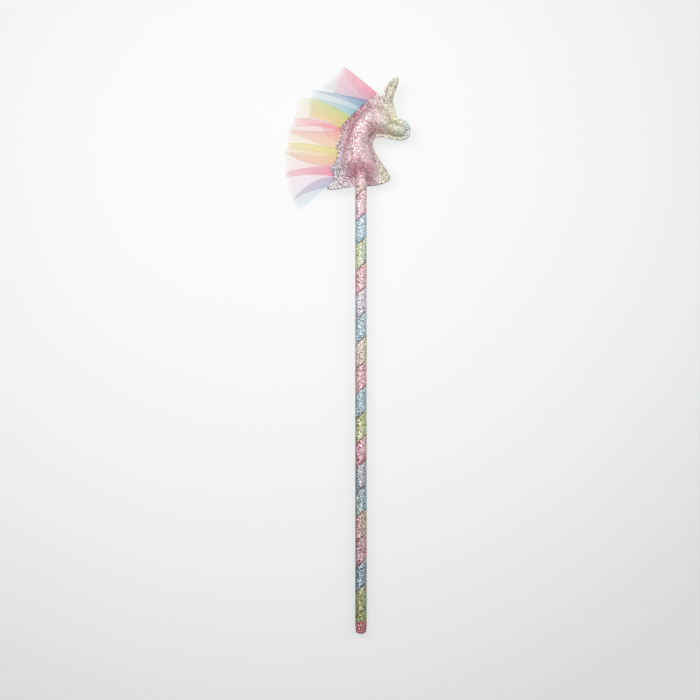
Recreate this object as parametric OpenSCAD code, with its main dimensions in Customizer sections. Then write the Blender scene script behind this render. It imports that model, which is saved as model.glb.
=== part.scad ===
// Toy magic wand: a stuffed glitter unicorn head with a gathered tulle mane, on a stick that is
// wound with a glitter strip. Millimetres. The stick lies along +Y, the head looks towards +X and
// its front panel is uppermost (+Z). The origin is the middle of the stick's butt face.

/* [Stick] */
// Diameter of the wooden dowel
dowel_d = 8; // [6:0.5:10]
// Length of the stick from its butt to the lower edge of the head
stick_len = 371; // [250:1:450]
// How far the dowel reaches up inside the head
dowel_in_head = 28; // [20:1:32]
// Thickness of the wound glitter strip
strip_t = 0.7; // [0.4:0.1:1]
// Distance along the stick from one turn of the strip to the next
strip_pitch = 20.5; // [17:0.5:30]
// Gap between neighbouring turns of the strip
strip_gap = 0.5; // [0.45:0.05:1.5]
// Distance from the head's lower edge down to the strip's first seam on the front
first_seam = 5; // [0:0.5:15]
// Length of the glitter cap on the butt
cap_len = 10; // [6:0.5:20]
// Thickness of the cap's end
cap_end_t = 1; // [0.6:0.1:2]
// Radius of the cap's rounded rim
cap_round = 2.2; // [0.5:0.1:3]

/* [Head] */
// Thickness of the glitter fabric of the head
fabric_t = 0.7; // [0.4:0.1:1]
// How far the wound stick runs up into the head, in a tunnel of the fabric
tunnel_len = 16; // [14:0.5:18]
// Height of the stuffing above the middle plane at the neck, on each side
crown_h = 10; // [8:0.5:13]
// Height of the puff in the horn, on each side
horn_puff = 1.8; // [1:0.1:3]
// Diameter of the sewing thread
thread_d = 0.5; // [0.3:0.1:0.6]
// Radius of the bead of glue round the dowel
glue_r = 1.5; // [1:0.1:2]

/* [Mane] */
// Thickness of the tulle where it is gathered
tulle_t = 0.3; // [0.2:0.05:0.5]
// Depth of the tulle's pleats at their free edge
pleat_depth = 5; // [2:0.5:7]
// How far the free edge hangs below the middle plane
mane_droop = 5; // [0:0.5:6]

/* [Clearances] */
// Gap between the stick and the tunnel that it enters the head by
stick_fit = 0.15; // [0.1:0.05:0.3]
// Gap between the dowel and what is wound or pushed on to it
dowel_fit = 0.02; // [0.01:0.01:0.1]
// Gap between the stuffing and what is round it
fill_fit = 0.25; // [0.2:0.05:0.4]
// Gap between the gathered tulle and the panels that hold it
tulle_fit = 0.02; // [0.01:0.01:0.1]
// Gap between the edges of two lengths of tulle
tulle_gap = 0.6; // [0.4:0.1:2]

/* [Hidden] */
$fn = 64;
dowel_r = dowel_d / 2;
stick_r = dowel_r + strip_t;
// The two panels lie this far from the middle plane, with the gathered tulle between them
panel_z = tulle_t / 2 + tulle_fit;
flange_top = panel_z + fabric_t;
strip_top = stick_len + tunnel_len;
dowel_top = stick_len + dowel_in_head;
tunnel_r = stick_r + stick_fit;

// Steps in one turn of the strip, and the least width that its cut ends taper to
turn_steps = 20;
end_width = 0.6;

// Points on each curve of the outline, steps between two ribs of a puff and steps across a rib
curve_steps = 6;
rib_steps = 2;
cross_steps = 10;

// Head outline as a chain of cubic curves, each [start, first handle, second handle], anticlockwise
// from the stick, measured from the point where the stick enters the head.
head_edge = [
    [[0, 0], [7, 0], [13, 0]],                          // base, in front of the stick
    [[18.3, 2.1], [20.5, 3], [24.4, 4.2]],              // chest corner
    [[24.2, 7.6], [24, 12], [11, 25]],                  // chest
    [[9.8, 33.5], [9.2, 39.5], [13, 41.4]],             // throat
    [[18.5, 40.7], [24, 39.7], [29, 37.8]],             // jaw
    [[34, 38], [38.5, 38.2], [41.2, 41.5]],             // chin
    [[41.2, 46], [41.2, 51.5], [36.5, 56]],             // nose
    [[30, 55.6], [29.8, 60], [26, 67]],                 // forehead
    [[26.6, 72], [27.2, 77], [30.4, 82]],               // front of the horn
    [[31.3, 88], [31.7, 91], [28.3, 91]],               // tip of the horn
    [[25.6, 88.3], [22.3, 85.3], [19.4, 80]],           // back of the horn
    [[17.6, 74], [16.2, 75], [14.2, 75.8]],             // front of the ear
    [[13, 78.4], [11.8, 75], [9.5, 72.5]],              // back of the ear
    [[5.5, 70.8], [0, 67], [-12, 55]],                  // crest
    [[-17.2, 48.4], [-15.6, 46.5], [-15.4, 44]],        // under the first lock
    [[-16.6, 41], [-17.3, 39], [-19, 36]],              // over the second lock
    [[-21.2, 32.8], [-19.2, 31.5], [-18.8, 29.5]],      // under the second lock
    [[-19.6, 25.5], [-20.3, 22], [-22.3, 18]],          // over the third lock
    [[-25.6, 13.8], [-23.2, 12], [-22.3, 10]],          // under the third lock
    [[-22.8, 7], [-23.5, 4.5], [-26, 1]],               // over the last lock
    [[-28.6, -2.3], [-26, -3.6], [-20, -2.8]],          // last lock
    [[-14, -1.5], [-9, -0.4], [-4, 0]],                 // base, behind the stick
];

// Ribs across the stuffed part from the base to the nose: the seam on the mane's side, the seam on
// the throat's side and the height of the puff as a share of crown_h. The first four slope up from
// the base so that the puff covers the stick at the end of the tunnel.
head_ribs = [
    [[-13.5, tunnel_len - 9.6], [12.5, tunnel_len - 12.6], 0],
    [[-14.6, tunnel_len - 7.4], [13.2, tunnel_len - 9.6], 0.1],
    [[-15.2, tunnel_len - 4], [13.2, tunnel_len - 5.2], 0.33],
    [[-15.4, tunnel_len + 0.5], [12.6, tunnel_len - 0.4], 0.66],
    [[-15.2, 21.5], [11.2, 21], 0.92],
    [[-13.6, 30], [8.8, 28.6], 1],
    [[-10.6, 40], [7, 35.5], 1],
    [[-6, 51.5], [6.8, 40.6], 0.98],
    [[1.5, 61.8], [8.6, 43.6], 0.96],
    [[11, 67.2], [13, 44.2], 0.96],
    [[20.8, 64.6], [19, 43.6], 0.9],
    [[25.2, 56], [25, 42.4], 0.74],
    [[31.6, 52.2], [31.2, 41.4], 0.62],
    [[35.8, 49.8], [35.6, 42.4], 0.42],
    [[37.8, 47.6], [37.8, 44.6], 0],
];

// Ribs across the horn from its foot to its tip, as above with shares of horn_puff
horn_ribs = [
    [[20.4, 69.6], [24.4, 69], 0],
    [[20.4, 72.6], [24.8, 71.8], 0.8],
    [[22.2, 78.2], [26.2, 77], 1],
    [[25.4, 84], [28.4, 82.8], 0.8],
    [[27.8, 87.2], [29.2, 86.7], 0],
];

// Lengths of tulle from the poll down: name, its two sides and its number of pleats. A side is a curve
// through its gathered end under the panels, its middle and its free end.
mane = [
    ["tulle_rose", [[12.2, 74.6], [1.6, 85.2], [-13.3, 98.6]], [[4.2, 67.2], [-14.4, 74.2], [-35, 80.6]], 3],
    ["tulle_blue", [[4.2, 67.2], [-14.4, 74.2], [-38.6, 81]], [[-6.6, 56.5], [-25.6, 67], [-43.6, 74.2]], 2],
    ["tulle_yellow", [[-6.6, 56.5], [-25.6, 67], [-46.6, 74.8]], [[-13.6, 47.8], [-33.2, 53.2], [-54.4, 56]], 3],
    ["tulle_coral", [[-13.6, 47.8], [-33.2, 53.2], [-54.4, 56]], [[-16, 34], [-38.6, 35.4], [-60.4, 37.4]], 3],
    ["tulle_lemon", [[-16, 34], [-38.6, 35.4], [-60.4, 37.4]], [[-18.6, 20.8], [-41.6, 21.4], [-63.4, 27]], 2],
    ["tulle_pink", [[-18.6, 20.8], [-41.6, 21.4], [-63.4, 27]], [[-20.9, 8.5], [-42, 9.4], [-61.8, 7.4]], 3],
    ["tulle_lilac", [[-20.9, 8.5], [-42, 9.4], [-61.8, 7.4]], [[-23.8, 1.6], [-37.8, -9], [-51.5, -18.8]], 3],
];
// Share of a length's width that lies flat between the panels, and steps along it and across a pleat
tulle_held = 0.12;
tulle_steps = 5;
pleat_steps = 4;

// Curves

// Points of a cubic curve from a to d with handles b and c, without its last point
function cubic(a, b, c, d) = [
    for (i = [0:curve_steps - 1])
        let (t = i / curve_steps, s = 1 - t)
        s * s * s * a + 3 * s * s * t * b + 3 * s * t * t * c + t * t * t * d
];

// The point at u along a smooth curve through the listed points
function smooth(list, u) =
    let (
        last = len(list) - 1,
        i = min(floor(u), last - 1),
        t = u - i,
        p0 = list[max(i - 1, 0)],
        p1 = list[i],
        p2 = list[i + 1],
        p3 = list[min(i + 2, last)]
    )
    0.5 * (2 * p1 + (p2 - p0) * t + (2 * p0 - 5 * p1 + 4 * p2 - p3) * t * t
        + (3 * p1 - p0 - 3 * p2 + p3) * t * t * t);

// A list of points made finer by a smooth curve through them
function smooth_list(list, steps) = [
    for (i = [0:(len(list) - 1) * steps]) smooth(list, i / steps)
];

function column(table, i) = [for (row = table) row[i]];
function reversed(list) = [for (i = [len(list) - 1:-1:0]) list[i]];

// Ribs made longer by grow at both ends
function grown(ribs, grow) = [
    for (rib = ribs)
        let (out = (rib[1] - rib[0]) / norm(rib[1] - rib[0]) * grow)
        [rib[0] - out, rib[1] + out, rib[2]]
];

head_outline = [
    for (i = [0:len(head_edge) - 1])
        each cubic(head_edge[i][0], head_edge[i][1], head_edge[i][2],
            head_edge[(i + 1) % len(head_edge)][0])
];

// Solids

// Triangles round a tube of rings with the given number of corners, and its two flat ends
function tube_faces(rings, corners) = concat(
    [for (i = [0:rings - 1], j = [0:corners - 1])
        let (a = i * corners + j, b = i * corners + (j + 1) % corners)
        each [[a, b, b + corners], [a, b + corners, a + corners]]],
    [for (j = [1:corners - 2]) [0, j + 1, j]],
    [for (j = [1:corners - 2]) [0, j, j + 1] + rings * corners * [1, 1, 1]]
);

// A solid between two grids of points that have n rows of m points each
module slab(top, bottom, n, m) {
    rim = concat(
        [for (j = [0:m - 1]) j],
        [for (i = [1:n - 1]) i * m + m - 1],
        [for (j = [m - 2:-1:0]) (n - 1) * m + j],
        [for (i = [n - 2:-1:1]) i * m]
    );
    under = n * m;
    faces = concat(
        [for (i = [0:n - 2], j = [0:m - 2])
            let (a = i * m + j)
            each [[a, a + m, a + m + 1], [a, a + m + 1, a + 1]]],
        [for (i = [0:n - 2], j = [0:m - 2])
            let (a = under + i * m + j)
            each [[a, a + m + 1, a + m], [a, a + 1, a + m + 1]]],
        [for (i = [0:len(rim) - 1])
            let (a = rim[i], b = rim[(i + 1) % len(rim)])
            each [[a, b, b + under], [a, b + under, a + under]]]
    );
    polyhedron(concat(top, bottom), faces);
}

// How a puff rises from the seam at t = 0 to its crown and falls to the seam at t = 1
function puff(t) = pow(sin(180 * t), 0.75);

// Points over ribs: a level at the seams, and a puff that is h tall between them
function puff_points(ribs, h, level) = [
    for (i = [0:(len(ribs) - 1) * rib_steps], j = [0:cross_steps])
        let (
            u = i / rib_steps,
            t = (1 - cos(180 * j / cross_steps)) / 2,
            p = smooth(column(ribs, 0), u) * (1 - t) + smooth(column(ribs, 1), u) * t
        )
        [p[0], p[1], level + h * max(smooth(column(ribs, 2), u), 0) * puff(t)]
];

// A solid over ribs from a puffed or flat under side to a puffed top
module pad(ribs, h, level, under_h, under_level) {
    slab(puff_points(ribs, h, level), puff_points(ribs, under_h, under_level),
        (len(ribs) - 1) * rib_steps + 1, cross_steps + 1);
}

// Turns a shape that stands on +Z so that it lies along the stick
module along_stick() {
    rotate([-90, 0, 0]) children();
}

// Moves a shape to the point where the stick enters the head
module at_head() {
    translate([0, stick_len, 0]) children();
}

// Stick

module dowel() {
    color("burlywood")
        along_stick() translate([0, 0, cap_end_t]) cylinder(r = dowel_r, h = dowel_top - cap_end_t);
}

// The strip's lower and upper edges at a turn of angle a about the stick, where 0 is the front
function strip_edge(a) = stick_len - first_seam + strip_pitch * a / 360 + strip_gap / 2;
function strip_low(a) = max(cap_len + strip_gap, strip_edge(a));
function strip_high(a) = min(strip_top, strip_edge(a) + strip_pitch - strip_gap);

// The angles between which the strip, cut straight at the cap and in the head, has some width
strip_start = 360 * ((cap_len + 2 * strip_gap + end_width - strip_edge(0)) / strip_pitch - 1);
strip_end = 360 * (strip_top - end_width - strip_edge(0)) / strip_pitch;
strip_rings = floor((strip_end - strip_start) * turn_steps / 360);

// The inner side lies on the dowel, with its flats clear of it
strip_inner = (dowel_r + dowel_fit) / cos(180 / turn_steps);
strip_points = [
    for (i = [0:strip_rings])
        let (a = strip_start + 360 / turn_steps * i, low = strip_low(a), high = strip_high(a))
        for (corner = [[strip_inner, low], [stick_r, low], [stick_r, high], [strip_inner, high]])
            [corner[0] * sin(a), corner[1], corner[0] * cos(a)]
];

// The least distance from a turn's upper edge to the next turn's lower edge
echo(least_gap_between_turns = min([
    for (i = [0:strip_rings - turn_steps - 1], j = [-1:1])
        norm(strip_points[4 * (i + turn_steps + j) + 1] - strip_points[4 * i + 2])
]));

module spiral_strip() {
    color("lightpink") polyhedron(strip_points, tube_faces(strip_rings, 4));
}

module end_cap() {
    color("palevioletred")
        along_stick() rotate_extrude() difference() {
            union() {
                square([stick_r - cap_round, cap_len]);
                translate([0, cap_round]) square([stick_r, cap_len - cap_round]);
                translate([stick_r - cap_round, cap_round]) circle(cap_round);
            }
            translate([0, cap_end_t]) square([dowel_r + dowel_fit, cap_len]);
        }
}

glue_y = strip_top + glue_r;

module glue_bead() {
    color("ivory")
        along_stick() translate([0, 0, glue_y]) rotate_extrude() difference() {
            translate([dowel_r, 0]) circle(glue_r);
            translate([0, -2 * glue_r]) square([dowel_r + dowel_fit, 4 * glue_r]);
        }
}

// Head

// The raised half tube that the fabric makes over the stick
module tunnel() {
    wall_r = tunnel_r + fabric_t;
    intersection() {
        along_stick() cylinder(r = wall_r, h = tunnel_len);
        translate([-wall_r, 0, panel_z]) cube([2 * wall_r, tunnel_len, wall_r]);
    }
}

// One side of the head: a flat border, the puffs that the stuffing fills and the tunnel
module panel() {
    at_head() difference() {
        union() {
            translate([0, 0, panel_z]) linear_extrude(fabric_t) polygon(head_outline);
            pad(grown(head_ribs, fabric_t), crown_h, flange_top, 0, panel_z + fabric_t / 2);
            pad(grown(horn_ribs, fabric_t), horn_puff, flange_top, 0, panel_z + fabric_t / 2);
            tunnel();
        }
        pad(head_ribs, crown_h, panel_z, 0, -1);
        pad(horn_ribs, horn_puff, panel_z, 0, -1);
        along_stick() translate([0, 0, -1]) cylinder(r = tunnel_r, h = tunnel_len + 1);
    }
}

module front_panel() {
    color("pink") panel();
}

module back_panel() {
    color("pink") mirror([0, 0, 1]) panel();
}

// A fill for the space between two puffs
module fill(ribs, h) {
    level = panel_z - fill_fit / 2;
    at_head() pad(grown(ribs, -fill_fit), h - fill_fit, level, fill_fit - h, -level);
}

module stuffing() {
    color("whitesmoke") difference() {
        fill(head_ribs, crown_h);
        along_stick() cylinder(r = dowel_r + fill_fit, h = dowel_top + fill_fit);
        along_stick() cylinder(r = dowel_r + glue_r + fill_fit, h = glue_y + glue_r + fill_fit);
    }
}

module horn_stuffing() {
    color("whitesmoke") fill(horn_ribs, horn_puff);
}

// The seam runs round the stuffed part from one side of the tunnel to the other
seam_out = fabric_t + thread_d / 2 + fill_fit;
seam_ribs = grown([for (i = [1:len(head_ribs) - 1]) head_ribs[i]], seam_out);
seam_left = head_ribs[0][0] - [0, seam_out];
seam_right = head_ribs[0][1] - [0, seam_out];
seam = smooth_list(concat(
    [[-tunnel_r - fabric_t - thread_d, seam_left[1]], seam_left],
    column(seam_ribs, 0),
    reversed(column(seam_ribs, 1)),
    [seam_right, [tunnel_r + fabric_t + thread_d, seam_right[1]]]
), 2);

// A thread that lies along the seam on the border of the front panel
thread_sides = 6;
module thread() {
    last = len(seam) - 1;
    points = [
        for (i = [0:last], k = [0:thread_sides - 1])
            let (
                way = seam[min(i + 1, last)] - seam[max(i - 1, 0)],
                side = [-way[1], way[0]] / norm(way),
                a = 360 * k / thread_sides,
                p = seam[i] + side * cos(a) * thread_d / 2
            )
            [p[0], p[1], flange_top + thread_d / 2 + sin(a) * thread_d / 2]
    ];
    at_head() polyhedron(points, tube_faces(last, thread_sides));
}

module needle_thread() {
    color("hotpink") thread();
}

module bobbin_thread() {
    color("hotpink") mirror([0, 0, 1]) thread();
}

// Mane

// The point at r along a curve that goes through a side's gathered end, middle and free end
function side_point(side, r) =
    (1 - r) * (1 - 2 * r) * side[0] + 4 * r * (1 - r) * side[1] + r * (2 * r - 1) * side[2];

// One length of tulle, gathered between the panels and fanning out in pleats to its free edge
module tulle(name, shade) {
    length = [for (row = mane) if (row[0] == name) row][0];
    pleats = length[3];
    steps = pleats * pleat_steps;
    depth = min(pleat_depth, norm(length[2][2] - length[1][2]) / pleats * 0.6);
    points = [
        for (i = [0:tulle_steps], j = [0:steps])
            let (
                r = i / tulle_steps,
                s = j / steps,
                free = max(r - tulle_held, 0) / (1 - tulle_held),
                first = side_point(length[1], r),
                second = side_point(length[2], r),
                inset = tulle_gap / 2 * (second - first) / norm(second - first),
                swell = (first - length[1][0]) * 0.06 * sin(180 * s),
                p = (first + inset) * (1 - s) + (second - inset) * s + swell,
                z = depth / 2 * pow(free, 0.7) * cos(360 * pleats * s) - mane_droop * free * free
            )
            [p[0], p[1], z]
    ];
    up = [0, 0, tulle_t / 2];
    color(shade)
        at_head() slab([for (p = points) p - up], [for (p = points) p + up], tulle_steps + 1, steps + 1);
}

dowel();
spiral_strip();
end_cap();
front_panel();
back_panel();
stuffing();
glue_bead();
horn_stuffing();
needle_thread();
bobbin_thread();
tulle("tulle_rose", "lightpink");  // tulle_rose
tulle("tulle_blue", "lightblue");  // tulle_blue
tulle("tulle_yellow", "palegoldenrod");  // tulle_yellow
tulle("tulle_coral", "lightsalmon");  // tulle_coral
tulle("tulle_lemon", "khaki");  // tulle_lemon
tulle("tulle_pink", "hotpink");  // tulle_pink
tulle("tulle_lilac", "thistle");  // tulle_lilac
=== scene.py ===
import math

import bmesh
import bpy
from mathutils import Matrix, Vector, noise


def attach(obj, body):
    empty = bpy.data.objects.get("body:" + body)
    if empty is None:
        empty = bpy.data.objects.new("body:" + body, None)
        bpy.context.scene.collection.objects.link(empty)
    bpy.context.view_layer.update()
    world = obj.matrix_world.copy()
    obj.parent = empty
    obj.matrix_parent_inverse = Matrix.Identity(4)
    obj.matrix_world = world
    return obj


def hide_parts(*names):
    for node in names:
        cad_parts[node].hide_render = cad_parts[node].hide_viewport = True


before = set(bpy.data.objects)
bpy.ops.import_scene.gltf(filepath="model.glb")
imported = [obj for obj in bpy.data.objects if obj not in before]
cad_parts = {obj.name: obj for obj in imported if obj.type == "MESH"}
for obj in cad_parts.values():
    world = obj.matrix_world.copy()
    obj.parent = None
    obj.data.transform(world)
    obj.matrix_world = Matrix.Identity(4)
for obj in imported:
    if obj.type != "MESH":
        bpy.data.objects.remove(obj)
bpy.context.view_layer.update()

BODY = "root"
MM = 0.001
# Where the stick enters the head, along the stick from its butt
HEAD_Y = 371.0

# Sizes of the stick in millimetres. The strip and the cap stand off the dowel by SNUG.
DOWEL_R = 4.0
STICK_R = 4.7
SNUG = 0.03
STRIP_PITCH = 20.5
STRIP_GAP = 0.5
STRIP_EDGE = 0.18
FIRST_SEAM = HEAD_Y - 5.0
TUNNEL_LEN = 16.0
STRIP_TOP = HEAD_Y + TUNNEL_LEN
CAP_LEN = 10.0
CAP_ROUND = 2.2
CAP_TAPER = 0.35
CAP_BOTTOM = 1.0
# Steps in one turn of the strip and round the cap, and how lumpy both are
STRIP_STEPS = 48
CAP_STEPS = 64
STRIP_LUMP = 0.05
CAP_LUMP = 0.015

# Sizes of the head in millimetres
FABRIC_T = 0.7
STRETCHED_T = FABRIC_T * 0.6
PANEL_Z = 0.17
FLANGE_TOP = PANEL_Z + FABRIC_T
CROWN_H = 10.0
# Share of its height that the fabric has before it is stuffed
SLACK = 0.97
HORN_PUFF = 1.8
TUNNEL_R = 4.85
# Rounding of the hollow beside the tunnel, and how far above and below its end the fabric changes over
TUNNEL_HOLLOW = 1.6
TUNNEL_BLEND = 8.0
# Painted highlight: how much brighter than the flat the fabric over the stick is painted
TUNNEL_PAINTED_HIGHLIGHT = 0.3
# Waves of the flat border, the size of the squares that it is sliced into for them, and where these lie
BORDER_WAVE = 0.1
BORDER_STEP = 1.5
HEAD_SPAN = ((-28, 42), (-3, 91))
THREAD_D = 0.5
STITCH_PITCH = 2.5
STITCH_LEN = 1.96
# How far apart points may be that are welded into one
WELD = 0.001

# Flakes of the glitter in millimetres, on the head and on the stick, the finer chips along one flake and its tilt
HEAD_FLAKE = 0.57
STICK_FLAKE = 0.66
CHIPS = 2.3
FLAKE_TILT = 0.8
# How bright a flake is when it has the fabric's own colour, and when it is all silvery
OWN_COLOUR = 0.45
ALL_SILVERY = 0.85

# Head outline: cubic curves, each (start, first handle, second handle), from the point where the stick enters
HEAD_EDGE = [
    ((0, 0), (7, 0), (13, 0)),
    ((18.3, 2.1), (20.5, 3), (24.4, 4.2)),
    ((24.2, 7.6), (24, 12), (11, 25)),
    ((9.8, 33.5), (9.2, 39.5), (13, 41.4)),
    ((18.5, 40.7), (24, 39.7), (29, 37.8)),
    ((34, 38), (38.5, 38.2), (41.2, 41.5)),
    ((41.2, 46), (41.2, 51.5), (36.5, 56)),
    ((30, 55.6), (29.8, 60), (26, 67)),
    ((26.6, 72), (27.2, 77), (30.4, 82)),
    ((31.3, 88), (31.7, 91), (28.3, 91)),
    ((25.6, 88.3), (22.3, 85.3), (19.4, 80)),
    ((17.6, 74), (16.2, 75), (14.2, 75.8)),
    ((13, 78.4), (11.8, 75), (9.5, 72.5)),
    ((5.5, 70.8), (0, 67), (-12, 55)),
    ((-17.2, 48.4), (-15.6, 46.5), (-15.4, 44)),
    ((-16.6, 41), (-17.3, 39), (-19, 36)),
    ((-21.2, 32.8), (-19.2, 31.5), (-18.8, 29.5)),
    ((-19.6, 25.5), (-20.3, 22), (-22.3, 18)),
    ((-25.6, 13.8), (-23.2, 12), (-22.3, 10)),
    ((-22.8, 7), (-23.5, 4.5), (-26, 1)),
    ((-28.6, -2.3), (-26, -3.6), (-20, -2.8)),
    ((-14, -1.5), (-9, -0.4), (-4, 0)),
]

# Ribs across the stuffed part: the seam on the mane's side, the seam on the throat's side, share of the crown
HEAD_RIBS = [
    ((-13.5, TUNNEL_LEN - 9.6), (12.5, TUNNEL_LEN - 12.6), 0),
    ((-14.6, TUNNEL_LEN - 7.4), (13.2, TUNNEL_LEN - 9.6), 0.1),
    ((-15.2, TUNNEL_LEN - 4), (13.2, TUNNEL_LEN - 5.2), 0.33),
    ((-15.4, TUNNEL_LEN + 0.5), (12.6, TUNNEL_LEN - 0.4), 0.66),
    ((-15.2, 21.5), (11.2, 21), 0.92),
    ((-13.6, 30), (8.8, 28.6), 1),
    ((-10.6, 40), (7, 35.5), 1),
    ((-6, 51.5), (6.8, 40.6), 0.98),
    ((1.5, 61.8), (8.6, 43.6), 0.96),
    ((11, 67.2), (13, 44.2), 0.96),
    ((20.8, 64.6), (19, 43.6), 0.9),
    ((25.2, 56), (25, 42.4), 0.74),
    ((31.6, 52.2), (31.2, 41.4), 0.62),
    ((35.8, 49.8), (35.6, 42.4), 0.42),
    ((37.8, 47.6), (37.8, 44.6), 0),
]
HORN_RIBS = [
    ((20.8, 66.4), (24.2, 65.8), 0),
    ((20.4, 69.6), (24.4, 69), 0.3),
    ((20.4, 72.6), (24.8, 71.8), 0.8),
    ((22.2, 78.2), (26.2, 77), 1),
    ((25.4, 84), (28.4, 82.8), 0.8),
    ((27.8, 87.2), (29.2, 86.7), 0),
]


# Shader maths


class Val:
    """A value in a material. Python's operators on it add Math nodes."""

    def __init__(self, look, socket):
        self.look = look
        self.socket = socket

    def math(self, operation, *others):
        inputs = dict(enumerate((self, *others)))
        return self.look.node("ShaderNodeMath", {"operation": operation}, inputs)

    def other(self, output):
        """Another output of the node that this value comes from."""
        return Val(self.look, self.socket.node.outputs[output])

    def __add__(self, value):
        return self.math("ADD", value)

    def __radd__(self, value):
        return self.math("ADD", value)

    def __sub__(self, value):
        return self.math("SUBTRACT", value)

    def __rsub__(self, value):
        return self.look.node("ShaderNodeMath", {"operation": "SUBTRACT"}, {0: value, 1: self})

    def __mul__(self, value):
        return self.math("MULTIPLY", value)

    def __rmul__(self, value):
        return self.math("MULTIPLY", value)

    def __truediv__(self, value):
        return self.math("DIVIDE", value)

    def __pow__(self, value):
        return self.math("POWER", value)

    def floor(self):
        return self.math("FLOOR")

    def clamped(self):
        return self.math("MINIMUM", 1.0).math("MAXIMUM", 0.0)

    def between(self, start, end):
        """0 where this value is at start, 1 where it is at end, and in step between them."""
        return ((self - start) / (end - start)).clamped()


class Look:
    """One material, made of nodes."""

    def __init__(self, name):
        self.material = bpy.data.materials.new(name)
        self.material.use_nodes = True
        self.tree = self.material.node_tree
        self.shader = self.tree.nodes["Principled BSDF"]

    def feed(self, socket, value):
        if isinstance(value, Val):
            self.tree.links.new(value.socket, socket)
        else:
            socket.default_value = value

    def node(self, kind, settings=None, inputs=None, output=0):
        made = self.tree.nodes.new(kind)
        for name, value in (settings or {}).items():
            if name == "stops":
                set_stops(made.color_ramp, value)
            elif name == "interpolation" and kind == "ShaderNodeValToRGB":
                made.color_ramp.interpolation = value
            else:
                setattr(made, name, value)
        for name, value in (inputs or {}).items():
            self.feed(made.inputs[name], value)
        return Val(self, made.outputs[output])

    def set(self, **inputs):
        for name, value in inputs.items():
            self.feed(self.shader.inputs[name.replace("_", " ")], value)

    def ramp(self, value, stops, interpolation="LINEAR"):
        settings = {"interpolation": interpolation, "stops": stops}
        return self.node("ShaderNodeValToRGB", settings, {"Fac": value}, "Color")

    def mix(self, factor, first, second, blend="MIX"):
        settings = {"data_type": "RGBA", "blend_type": blend}
        return self.node("ShaderNodeMix", settings, {0: factor, 6: first, 7: second}, 2)

    def shaded(self, colour, strength):
        """A colour made lighter or darker, or a vector made longer or shorter."""
        return self.node("ShaderNodeVectorMath", {"operation": "SCALE"}, {0: colour, "Scale": strength})

    def vector(self, operation, *values):
        return self.node("ShaderNodeVectorMath", {"operation": operation}, dict(enumerate(values)))

    def parts(self, value):
        first = self.node("ShaderNodeSeparateXYZ", None, {0: value})
        return first, first.other(1), first.other(2)


def set_stops(ramp, stops):
    while len(ramp.elements) > 1:
        ramp.elements.remove(ramp.elements[-1])
    for i, (position, colour) in enumerate(stops):
        element = ramp.elements[0] if i == 0 else ramp.elements.new(position)
        element.position = position
        element.color = colour


def srgb(red, green, blue):
    """A colour as a picture shows it, 0 to 255, in linear light."""
    def linear(c):
        c /= 255
        return c / 12.92 if c <= 0.04045 else ((c + 0.055) / 1.055) ** 2.4
    return (linear(red), linear(green), linear(blue), 1.0)


def sprinkle(look, colour, place, flake, painted_shade, side, calm):
    """Glitter on a colour: flakes from a deep to a silvery tone, each with its own tilt, with finer chips on them.

    Painted shade makes the colour darker and fewer of them silvery, and less than none makes them lighter, as
    painted light. By side, painted shade also falls where the surface turns away from the flat. Where it is
    calm, they keep closer to the colour.
    """
    flake *= MM
    big = look.node("ShaderNodeTexVoronoi", None, {"Vector": place, "Scale": 1 / flake}, "Color")
    small = look.node("ShaderNodeTexVoronoi", None, {"Vector": place, "Scale": CHIPS / flake}, "Color")
    tone, _, gloss = look.parts(big)
    fine = look.parts(small)[0]
    face = look.node("ShaderNodeNewGeometry", output="Normal")
    turned = 1 - look.parts(face)[2].math("ABSOLUTE")
    # Painted shade and light: painted_shade darkens colour and flakes, and less than none lightens them; side darkens
    # flakes where the surface turns from the flat
    level = (tone ** 0.8 + 0.34 * (fine - 0.5) + 0.08 - 0.3 * painted_shade - side * turned).clamped()
    colour = look.shaded(colour, 1 - 0.32 * painted_shade)
    deep = look.mix(0.5 * calm, look.shaded(look.mix(1.0, colour, colour, "MULTIPLY"), 0.75), colour)
    pale = look.mix(0.82 - 0.42 * calm, colour, srgb(255, 252, 252))
    low = look.mix(level.between(0, OWN_COLOUR), deep, colour)
    flakes = look.mix(level.between(OWN_COLOUR, ALL_SILVERY), low, pale)
    tilt = look.shaded(look.vector("SUBTRACT", big, (0.5, 0.5, 0.5)), FLAKE_TILT)
    normal = look.vector("NORMALIZE", look.vector("ADD", face, tilt))
    look.set(Base_Color=flakes, Roughness=0.3 + 0.25 * gloss, Metallic=0.5, Normal=normal)
    look.shader.inputs["Specular IOR Level"].default_value = 0.25


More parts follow.
